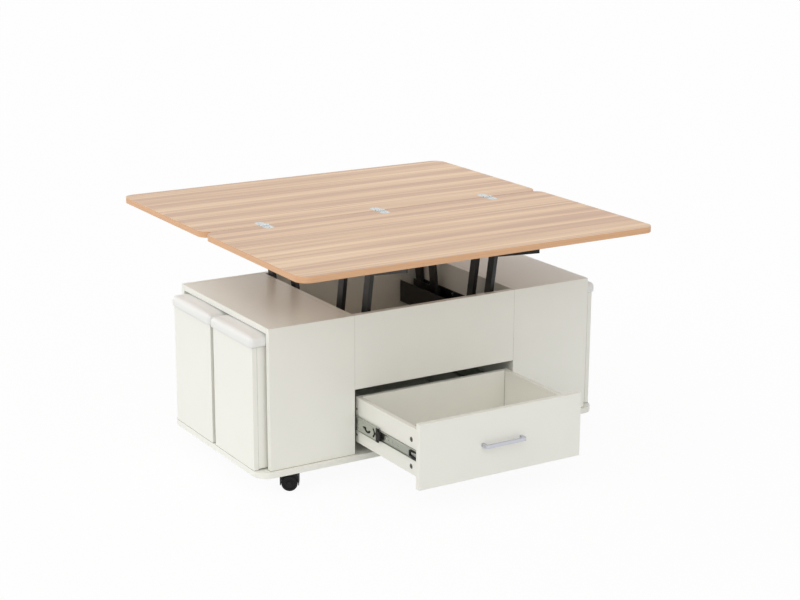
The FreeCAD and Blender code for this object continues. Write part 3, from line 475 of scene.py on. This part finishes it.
def merged_copy(node):
    """A bmesh of a CAD node with its triangles joined, and its separate solids as lists of faces."""
    bm = bmesh.new()
    bm.from_mesh(NODES[node].data)
    bmesh.ops.remove_doubles(bm, verts=bm.verts, dist=SAME_SPOT)
    left, solids = set(bm.faces), []
    while left:
        solid, waiting = [], [left.pop()]
        while waiting:
            face = waiting.pop()
            solid.append(face)
            joined = [edge for edge in face.edges if edge.is_manifold]
            near = {other for edge in joined for other in edge.link_faces} & left
            left -= near
            waiting += near
        solids.append(solid)
    return bm, solids


def solid_boxes(node):
    """Lowest and highest corner of each separate solid in a CAD node."""
    bm, solids = merged_copy(node)
    boxes = []
    for solid in solids:
        spots = [vert.co for face in solid for vert in face.verts]
        boxes.append([Vector(pick(spot[axis] for spot in spots) for axis in range(3))
                      for pick in (min, max)])
    bm.free()
    return boxes


def add_to(target, bm, place):
    """Move a finished small bmesh to its place and join it to a larger one."""
    bmesh.ops.recalc_face_normals(bm, faces=bm.faces)
    bmesh.ops.transform(bm, matrix=place, verts=bm.verts)
    step = bpy.data.meshes.new("step")
    bm.to_mesh(step)
    bm.free()
    target.from_mesh(step)
    bpy.data.meshes.remove(step)


def fastener(target, radius, depth, foot, recess, place):
    """Add a fastener: a round face with a cross recess and a soft rim, and a body down to its foot.

    The foot's radius and the recess's depth are shares of the radius.
    The face lies at the place and looks along its Z.
    """
    bm = bmesh.new()
    arm, half = CROSS_ARM*radius, CROSS_HALF*radius
    for vert in bmesh.ops.create_grid(bm, x_segments=3, y_segments=3, size=arm)["verts"]:
        for axis in range(2):
            if abs(vert.co[axis]) < arm/2:
                vert.co[axis] = math.copysign(half, vert.co[axis])
    corners = [face for face in bm.faces if min(map(abs, face.calc_center_median()[:2])) > half]
    bmesh.ops.delete(bm, geom=corners, context="FACES")
    cross = bm.faces[:]
    mouth = [edge for edge in bm.edges if edge.is_boundary]
    circle = bmesh.ops.create_circle(bm, radius=radius, segments=24)["verts"]
    rim = list({edge for vert in circle for edge in vert.link_edges})
    bmesh.ops.bridge_loops(bm, edges=mouth + rim)
    pit = bmesh.ops.extrude_face_region(bm, geom=cross)["geom"]
    sunk = min(recess*radius, CROSS_DEEPEST*depth)
    bmesh.ops.translate(bm, vec=(0, 0, -sunk), verts=verts_in(pit))
    foot_ring = verts_in(bmesh.ops.extrude_edge_only(bm, edges=rim)["geom"])
    bmesh.ops.scale(bm, vec=(foot, foot, 1.0), verts=foot_ring)
    bmesh.ops.translate(bm, vec=(0, 0, -depth), verts=foot_ring)
    bmesh.ops.holes_fill(bm, edges=[edge for edge in bm.edges if edge.is_boundary])
    rounded(bm, rim, SOFT_RIM*radius, 2)
    add_to(target, bm, place)


def keep_level(piece):
    """Shade a piece's broad faces as level up to their rounded edges."""
    piece.modifiers.new("level_faces", "WEIGHTED_NORMAL").keep_sharp = True


def eased(node, material, width, segments=2, reshape=Matrix()):
    """Show a CAD node, reshaped, with its longer sharp edges rounded to catch the light."""
    bm, solids = merged_copy(node)
    bmesh.ops.transform(bm, matrix=reshape, verts=bm.verts)
    for solid in solids[1:]:
        bmesh.ops.split(bm, geom=parts_of(solid))
    bmesh.ops.dissolve_limit(bm, angle_limit=FLAT, verts=bm.verts, edges=bm.edges)
    bm.normal_update()
    sharp = [edge for edge in bm.edges if edge.is_manifold and edge.is_convex
             and edge.calc_face_angle() > SHARP and edge.calc_length() > 3*width]
    rounded(bm, sharp, width, segments, clamp_overlap=True)
    piece = new_object(f"{node}_eased", bm, material)
    keep_level(piece)
    stand_for(node, piece)


class TABLE_OT_boards(Operator):
    """Face the cabinet, drawer and stool boards in white and ease their edges"""

    bl_idname = "table.boards"
    bl_label = "White boards"

    def execute(self, context):
        facing = white_melamine(context.scene.table_finishes)
        for node in nodes_in("white_board"):
            eased(node, facing, context.scene.table_forms.board_ease)
        return {"FINISHED"}


class TABLE_OT_top(Operator):
    """Lay the wood-look laminate and its edge band on the two leaves"""

    bl_idname = "table.top"
    bl_label = "Wood top"

    def execute(self, context):
        laminate = wood_laminate(context.scene.table_finishes)
        for node in nodes_in("oak_board"):
            eased(node, laminate, context.scene.table_forms.leaf_ease)
        return {"FINISHED"}


class TABLE_OT_lift(Operator):
    """Coat the lift's channels, arms and brackets, and finish the rubber pads"""

    bl_idname = "table.lift"
    bl_label = "Lift"

    BARS = ("front_arms_outer", "front_arms_inner", "rear_arms_outer", "rear_arms_inner")
    SHEETS = ("lift_channels", "front_brackets", "rear_brackets", "rear_cross_bar")

    def execute(self, context):
        tones, forms = context.scene.table_finishes, context.scene.table_forms
        coat = powder_coat(tones)
        paint(coat, nodes_in("black_steel"))
        paint(black_rubber(tones), nodes_in("rubber"))
        for node in self.BARS:
            eased(node, coat, forms.bar_ease, segments=3)
        for node in self.SHEETS:
            eased(node, coat, forms.sheet_ease)
        return {"FINISHED"}


class TABLE_OT_hinges(Operator):
    """Plate the fold-over hinges and show all screws and cam locks with their cross recesses"""

    bl_idname = "table.hinges"
    bl_label = "Hinges and fasteners"

    # fastener nodes, the way their heads face, and foot and recess as shares of the head's radius
    HEADS = {
        "hinge_screws_front": ("up", 0.45, 0.5), "hinge_screws_rear": ("up", 0.45, 0.5),
        "channel_screws": ("inward", 0.6, 0.5), "front_bracket_screws": ("down", 0.6, 0.5),
        "drawer_cam_locks": ("outward", 1.0, 0.12),
    }

    def execute(self, context):
        tones = context.scene.table_finishes
        zinc, cast = bright_zinc(tones), die_cast_zinc(tones)
        paint(zinc, ("hinge_plates_front", "hinge_plates_rear", "hinge_pins"))
        for node, (way, foot, recess) in self.HEADS.items():
            bm = bmesh.new()
            for low, high in solid_boxes(node):
                middle, size = (low + high)/2, high - low
                side = math.copysign(1.0, middle.x)
                out = Vector({"up": (0, 0, 1), "down": (0, 0, -1), "inward": (-side, 0, 0),
                              "outward": (side, 0, 0)}[way])
                depth = abs(size.dot(out))
                place = Matrix.Translation(middle + out*depth/2) @ turned_to(out)
                fastener(bm, size.y/2, depth, foot, recess, place)
            material = cast if node == "drawer_cam_locks" else zinc
            stand_for(node, new_object(f"{node}_heads", bm, material))
        return {"FINISHED"}


class TABLE_OT_drawer_fittings(Operator):
    """Finish the bar handle and the ball runners with their stop clips, slots, latches and screws"""

    bl_idname = "table.drawer_fittings"
    bl_label = "Handle and runners"

    # thickness of a runner's strip, and how far the black slots stand on it; the slots are cut-outs
    # in the strip, drawn as thin black bars of painted shade
    WEB, INLAY = 1.5*MM, 0.5*MM
    # where the screws of a drawer member sit, from its front end
    SCREWS_AT = (137*MM, 156*MM)
    SCREW_RADIUS, SCREW_HEIGHT = 4.2*MM, 1.6*MM
    # foot and recess of such a screw, as shares of its radius
    SCREW_FOOT, SCREW_RECESS = 1.0, 0.2
    # length of a clip between its nose and its ears, as a share of the CAD clip's length
    CLIP_BODY = 0.3
    # where each black slot starts and how far it bends, seen along X, and the hook's stretch
    SLIT_START, SLIT_SWEEP = math.radians(112), math.radians(136)
    HOOK_START, HOOK_SWEEP, HOOK_STRETCH = math.radians(30), math.radians(-205), 1.6
    # a latch's height as a share of its member's, its rear height and its frame as shares of that
    LATCH_HEIGHT, LATCH_REAR, LATCH_FRAME = 0.8, 0.7, 0.25
    LATCH_SET_BACK = 1*MM

    def execute(self, context):
        tones, forms = context.scene.table_finishes, context.scene.table_forms
        eased("drawer_handle", satin_silver(tones), forms.handle_ease, segments=4)
        steel, nylon = runner_steel(tones), moulded_nylon(tones)
        eased("runner_outer_members", steel, forms.runner_ease)
        low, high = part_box("runner_middle_members")
        short = 1 - forms.clip_ear/(high.y - low.y)
        eased("runner_middle_members", steel, forms.runner_ease,
              reshape=scaled_about(high, short, (0, 1, 0)))
        low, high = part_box("runner_inner_members")
        slim = forms.member_height/(high.z - low.z)
        eased("runner_inner_members", steel, forms.runner_ease,
              reshape=scaled_about((low + high)/2, slim, (0, 0, 1)))
        clips, latches, screws = bmesh.new(), bmesh.new(), bmesh.new()
        for low, high in solid_boxes("runner_stop_clips"):
            self.clip(clips, low, high, forms)
        for low, high in solid_boxes("runner_inner_members"):
            self.latch(latches, low, high, forms)
            self.screws(screws, low, high)
        # the clips' piece also holds the black bars of painted shade that stand for the runners'
        # slots
        stand_for("runner_stop_clips", new_object("runner_clips", clips, nylon))
        zinc = bpy.data.materials["bright_zinc_plate"]
        for name, bm, material, slot in (("runner_latches", latches, nylon, "black_plastic"),
                                         ("runner_screws", screws, zinc, "zinc")):
            piece = new_object(name, bm, material)
            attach(piece, NODES["runner_inner_members"]["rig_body"])
        return {"FINISHED"}

    def clip(self, target, low, high, forms):
        """Add a stop clip, with a nose in front and two ears at its rear, and its two slots as black
        bars of painted shade.
        """
        member_low, member_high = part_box("runner_middle_members")
        size, middle = high - low, (low + high)/2
        size.y = forms.clip_nose + forms.clip_ear + self.CLIP_BODY*size.y
        bm = block(size)
        bmesh.ops.bisect_plane(bm, geom=[*bm.verts, *bm.edges, *bm.faces], plane_no=(0, 1, 0),
                               plane_co=(0, size.y/2 - forms.clip_ear, 0))
        bm.normal_update()
        sides = [face for face in bm.faces
                 if abs(face.normal.z) > 0.5 and face.calc_center_median().y > 0]
        for ear in bmesh.ops.extrude_discrete_faces(bm, faces=sides)["faces"]:
            reach = (member_high.z - member_low.z - size.z)/2
            bmesh.ops.translate(bm, vec=(0, 0, math.copysign(reach, ear.normal.z)), verts=ear.verts)
        rounded(bm, bm.edges[:], self.INLAY, 2)
        front = low.y - forms.clip_nose
        add_to(target, bm, Matrix.Translation((middle.x, front + size.y/2, middle.z)))
        # the two slots are holes in the runner, drawn as black bars on it: painted shade
        near = min(low.x, high.x, key=abs)
        reach = size.y + forms.slit_gap + forms.slit_radius + forms.slit_width/2
        slit = Vector((near, front + reach, middle.z))
        self.bent(target, slit, forms.slit_radius, forms.slit_width,
                  self.SLIT_START, self.SLIT_SWEEP)
        hook = slit + Vector((0, 2*forms.slit_radius, 0))
        self.bent(target, hook, forms.hook_radius, forms.slit_width,
                  self.HOOK_START, self.HOOK_SWEEP, self.HOOK_STRETCH)

    def bent(self, target, centre, radius, width, start, sweep, stretch=1.0):
        """Add a flat black bar, bent about a centre and stretched along the runner: painted shade for
        a cut-out slot.
        """
        bm = bmesh.new()
        out = math.copysign(self.INLAY, centre.x)
        way = Vector((0, math.cos(start), math.sin(start)))
        corners = [way*(radius + share*width) + Vector((rise, 0, 0))
                   for rise, share in ((0, -0.5), (out, -0.5), (out, 0.5), (0, 0.5))]
        face = bm.faces.new([bm.verts.new(corner) for corner in corners])
        bmesh.ops.spin(bm, geom=[face, *face.edges, *face.verts], cent=(0, 0, 0), axis=(1, 0, 0),
                       angle=sweep, steps=12)
        bmesh.ops.scale(bm, vec=(1.0, stretch, 1.0), verts=bm.verts)
        add_to(target, bm, Matrix.Translation(centre))

    def latch(self, target, low, high, forms):
        """Add the latch in a drawer member's front end: an open lever that narrows to the rear."""
        near, far = sorted((low.x, high.x), key=abs)
        web = near + math.copysign(self.WEB, near)
        height = self.LATCH_HEIGHT*forms.member_height
        bm = block((abs(far - web), forms.latch_length, height))
        rear = max(bm.faces, key=lambda face: face.calc_center_median().y)
        bmesh.ops.scale(bm, vec=(1.0, 1.0, self.LATCH_REAR), verts=rear.verts)
        bm.normal_update()
        sides = [face for face in bm.faces if abs(face.normal.x) > 0.5]
        bmesh.ops.inset_individual(bm, faces=sides, thickness=self.LATCH_FRAME*height)
        mouths = [edge for face in sides for edge in face.edges]
        bmesh.ops.delete(bm, geom=sides, context="FACES_ONLY")
        bmesh.ops.bridge_loops(bm, edges=mouths)
        reach = forms.latch_length/2 + self.LATCH_SET_BACK
        middle = Vector(((web + far)/2, low.y + reach, (low.z + high.z)/2))
        add_to(target, bm, Matrix.Translation(middle))

    def screws(self, target, low, high):
        """Add the pan-head screws that hold a drawer member to the drawer's side."""
        near = min(low.x, high.x, key=abs)
        out = Vector((math.copysign(1.0, near), 0, 0))
        rise = out*(self.WEB + self.SCREW_HEIGHT)
        for reach in self.SCREWS_AT:
            face = Vector((near, low.y + reach, (low.z + high.z)/2)) + rise
            fastener(target, self.SCREW_RADIUS, self.SCREW_HEIGHT, self.SCREW_FOOT,
                     self.SCREW_RECESS, Matrix.Translation(face) @ turned_to(out))


class TABLE_OT_seats(Operator):
    """Pad the four stool seats: foam blocks whose covers swell a little over them"""

    bl_idname = "table.seats"
    bl_label = "Padded seats"

    # steps of the cover's simulation, and how high its held underside reaches
    STEPS = 20
    HELD = 1*MM

    def execute(self, context):
        forms = context.scene.table_forms
        cover = white_leatherette(context.scene.table_finishes)
        for node in nodes_in("leatherette"):
            low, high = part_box(node)
            foam = self.foam(low, high, forms)
            piece = new_object(node.replace("cushion", "seat"), foam, cover)
            self.swell(piece, low, high, forms)
            stand_for(node, piece)
        return {"FINISHED"}

    def foam(self, low, high, forms):
        """The foam block: a board's outline with round upright corners and a soft upper edge."""
        size = high - low - Vector((2, 2, 1))*forms.seat_slack
        bm = block(size)
        middle = (low + high)/2
        bmesh.ops.translate(bm, vec=(middle.x, middle.y, low.z + size.z/2), verts=bm.verts)
        half_up = low.z + size.z/2
        upright = [edge for edge in bm.edges
                   if abs(edge.verts[0].co.z - edge.verts[1].co.z) > size.z/2]
        rounded(bm, upright, forms.seat_corner, 6)
        upper = [edge for edge in bm.edges if all(vert.co.z > half_up for vert in edge.verts)]
        rounded(bm, upper, forms.seat_edge, 8)
        return bm

    def swell(self, piece, low, high, forms):
        """Simulate the cover as cloth with pressure inside and its underside held, and keep it."""
        remesh = piece.modifiers.new("even_mesh", "REMESH")
        remesh.mode, remesh.voxel_size = "VOXEL", forms.seat_voxel
        self.keep(piece)
        under = [vert.index for vert in piece.data.vertices if vert.co.z < low.z + self.HELD]
        held = piece.vertex_groups.new(name="held")
        held.add(under, 1.0, "REPLACE")
        cloth = piece.modifiers.new("cover", "CLOTH")
        cloth.settings.vertex_group_mass = held.name
        cloth.settings.use_pressure = True
        cloth.settings.uniform_pressure_force = forms.seat_pressure
        cloth.settings.effector_weights.gravity = 0.0
        cloth.point_cache.frame_start, cloth.point_cache.frame_end = 1, self.STEPS
        for step in range(1, self.STEPS + 1):
            bpy.context.scene.frame_set(step)
        self.keep(piece)
        bpy.context.scene.frame_set(1)
        self.fit(piece, low, high)
        smooth = piece.modifiers.new("smooth", "SUBSURF")
        smooth.levels = smooth.render_levels = 1
        piece.data.shade_smooth()

    def keep(self, piece):
        """Apply the piece's modifiers to its mesh."""
        graph = bpy.context.evaluated_depsgraph_get()
        mesh = bpy.data.meshes.new_from_object(piece.evaluated_get(graph))
        piece.modifiers.clear()
        piece.data = mesh

    def fit(self, piece, low, high):
        """Stretch the swollen cover to the seat's full size; its underside stays level."""
        spots = [vert.co for vert in piece.data.vertices]
        for axis in range(3):
            least = min(spot[axis] for spot in spots)
            most = max(spot[axis] for spot in spots)
            share = (high[axis] - low[axis])/(most - least)
            for spot in spots:
                spot[axis] = low[axis] + (spot[axis] - least)*share


class TABLE_OT_casters(Operator):
    """Turn the casters' twin wheels and ease their hoods"""

    bl_idname = "table.casters"
    bl_label = "Casters"

    # share of a wheel's radius from which a spot lies on its tread
    TREAD = 0.99
    # a wheel's hub, its dish, its rim and the axle, as shares of its radius
    HUB, DISH_IN, DISH_OUT, RIM, AXLE = 0.32, 0.38, 0.66, 0.72, 0.12

    def execute(self, context):
        forms = context.scene.table_forms
        nylon = bpy.data.materials["moulded_black_nylon"]
        joints = {joint["child"]: joint for joint in frame["record"]["behaviour"]["joints"]}
        for node in nodes_in("black_plastic"):
            if node.endswith("_hood"):
                eased(node, nylon, forms.hood_ease, segments=3)
            elif node.endswith("_wheels"):
                piece = self.wheels(node, joints[NODES[node]["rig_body"]], forms)
                stand_for(node, new_object(f"{node}_turned", piece, nylon))
        return {"FINISHED"}

    def wheels(self, node, joint, forms):
        """Both wheels of a caster, on the axle that its rolling joint gives."""
        axle, centre = Vector(joint["axis"]), Vector(joint["pos_m"])
        shape, _ = merged_copy(node)
        reaches = [(vert.co - centre).dot(axle) for vert in shape.verts]
        radii = [(vert.co - centre - axle*reach).length for vert, reach in zip(shape.verts, reaches)]
        shape.free()
        radius = max(radii)
        tread = [abs(reach) for reach, far in zip(reaches, radii) if far > self.TREAD*radius]
        bm = bmesh.new()
        for facing in (axle, -axle):
            place = Matrix.Translation(centre) @ turned_to(facing)
            self.wheel(bm, radius, min(tread), max(tread), forms, place)
        return bm

    def wheel(self, target, radius, inner, outer, forms, place):
        """Add a wheel and its half of the axle: hub and rim outside, a tread with round shoulders."""
        bm = bmesh.new()
        dish = outer - forms.hub_sink
        # radius as a share of the wheel's, and place along the axle
        profile = ((0.0, outer), (self.HUB, outer), (self.DISH_IN, dish), (self.DISH_OUT, dish),
                   (self.RIM, outer), (1.0, outer), (1.0, inner), (self.AXLE, inner),
                   (self.AXLE, 0.0), (0.0, 0.0))
        ring = [bm.verts.new((share*radius, 0, reach)) for share, reach in profile]
        line = [bm.edges.new(ends) for ends in zip(ring, ring[1:])]
        bmesh.ops.spin(bm, geom=ring + line, cent=(0, 0, 0), axis=(0, 0, 1), angle=2*math.pi,
                       steps=48, use_merge=True)
        bmesh.ops.remove_doubles(bm, verts=bm.verts, dist=SAME_SPOT)
        far = self.TREAD*radius
        shoulders = [edge for edge in bm.edges if edge.calc_face_angle() > SHARP
                     and all(math.hypot(vert.co.x, vert.co.y) > far for vert in edge.verts)]
        rounded(bm, shoulders, forms.tread_round, 4)
        add_to(target, bm, place)


class TABLE_OT_studio(Operator):
    """Set up the floor, the lights and the camera"""

    bl_idname = "table.studio"
    bl_label = "Studio"

    # the way that each broad light shines
    WAYS = {
        "left_light": (0.80, 0.14, -0.58), "front_light": (0.05, 0.85, -0.50),
        "top_light": (0.1, 0.1, -1.0), "back_light": (0.35, -0.90, -0.24),
    }
    FLOOR_REACH = 40.0
    VIEW_REACH = 100.0
    SENSOR_WIDTH = 36.0

    def execute(self, context):
        studio = context.scene.table_studio
        context.scene.view_settings.view_transform = "Standard"
        self.floor(studio)
        self.sky(context.scene, studio)
        for name, way in self.WAYS.items():
            self.broad_light(name, getattr(studio, name), studio.softness, way)
        self.camera(context.scene, studio)
        return {"FINISHED"}

    def seen_plainly(self, tree):
        """A socket that is 1 where the camera sees the surroundings, straight or by reflection."""
        path = put(tree, "ShaderNodeLightPath").outputs
        first = put(tree, "ShaderNodeMath", {0: path["Is Camera Ray"], 1: path["Is Glossy Ray"]},
                    operation="MAXIMUM").outputs[0]
        return put(tree, "ShaderNodeMath", {0: first, 1: path["Is Transmission Ray"]},
                   operation="MAXIMUM").outputs[0]

    def floor(self, studio):
        """A pale floor that shows as near white and keeps the table's shadow."""
        bm = bmesh.new()
        bmesh.ops.create_grid(bm, x_segments=1, y_segments=1, size=self.FLOOR_REACH)
        material, tree, shader = new_finish("studio_floor", {
            "Base Color": srgb("#F4F4F4"), "Roughness": 0.9, "Specular IOR Level": 0.0})
        white = put(tree, "ShaderNodeEmission", {"Color": srgb("#FFFFFF"), "Strength": 1.0})
        share = put(tree, "ShaderNodeMath", {0: self.seen_plainly(tree), 1: studio.floor_white},
                    operation="MULTIPLY")
        mixed = put(tree, "ShaderNodeMixShader", {
            0: share.outputs[0], 1: shader.outputs["BSDF"], 2: white.outputs["Emission"]})
        surface = tree.nodes["Material Output"].inputs["Surface"]
        tree.links.new(mixed.outputs["Shader"], surface)
        new_object("studio_floor", bm, material)

    def sky(self, scene, studio):
        """Even white fill, seen as plain white."""
        scene.world = bpy.data.worlds.new("studio_sky")
        scene.world.use_nodes = True
        tree = scene.world.node_tree
        back = tree.nodes["Background"]
        back.inputs["Color"].default_value = srgb("#FFFFFF")
        fill = put(tree, "ShaderNodeMapRange", {
            "Value": self.seen_plainly(tree), "To Min": studio.sky, "To Max": 1.0})
        tree.links.new(fill.outputs["Result"], back.inputs["Strength"])

    def broad_light(self, name, strength, softness, way):
        """An even light that shines one way over the whole floor, with soft shadows."""
        light = bpy.data.lights.new(name, "SUN")
        light.energy = strength
        light.angle = softness
        lamp = bpy.data.objects.new(name, light)
        bpy.context.scene.collection.objects.link(lamp)
        lamp.rotation_euler = Vector(way).to_track_quat("-Z", "Y").to_euler()

    def camera(self, scene, studio):
        """The camera, where the photograph was taken from."""
        lens = bpy.data.cameras.new("camera")
        lens.sensor_width = self.SENSOR_WIDTH
        lens.lens = studio.camera_lens
        lens.clip_end = self.VIEW_REACH
        camera = bpy.data.objects.new("camera", lens)
        scene.collection.objects.link(camera)
        turn = Matrix.Rotation(studio.camera_turn, 4, "Z")
        tilt = Matrix.Rotation(math.pi/2 - studio.camera_tilt, 4, "X")
        roll = Matrix.Rotation(studio.camera_roll, 4, "Z")
        camera.matrix_world = Matrix.Translation(studio.camera_place) @ turn @ tilt @ roll
        scene.camera = camera


OPERATORS = (TABLE_OT_boards, TABLE_OT_top, TABLE_OT_lift, TABLE_OT_hinges,
             TABLE_OT_drawer_fittings, TABLE_OT_seats, TABLE_OT_casters, TABLE_OT_studio)
GROUPS = {"table_finishes": TableFinishes, "table_forms": TableForms, "table_studio": TableStudio}


class TABLE_PT_panel(Panel):
    """The table's settings and the steps that build it"""

    bl_idname = "TABLE_PT_panel"
    bl_label = "Table"
    bl_space_type = "VIEW_3D"
    bl_region_type = "UI"
    bl_category = "Table"

    def draw(self, context):
        for operator in OPERATORS:
            self.layout.operator(operator.bl_idname)
        for name, group in GROUPS.items():
            for setting in group.__annotations__:
                self.layout.prop(getattr(context.scene, name), setting)


def register():
    for name, group in GROUPS.items():
        bpy.utils.register_class(group)
        setattr(bpy.types.Scene, name, PointerProperty(type=group))
    for operator in OPERATORS:
        bpy.utils.register_class(operator)
    bpy.utils.register_class(TABLE_PT_panel)


def unregister():
    bpy.utils.unregister_class(TABLE_PT_panel)
    for operator in reversed(OPERATORS):
        bpy.utils.unregister_class(operator)
    for name, group in GROUPS.items():
        delattr(bpy.types.Scene, name)
        bpy.utils.unregister_class(group)


def main():
    register()
    for operator in OPERATORS:
        family, step = operator.bl_idname.split(".")
        getattr(getattr(bpy.ops, family), step)()


if __name__ == "__main__":
    main()
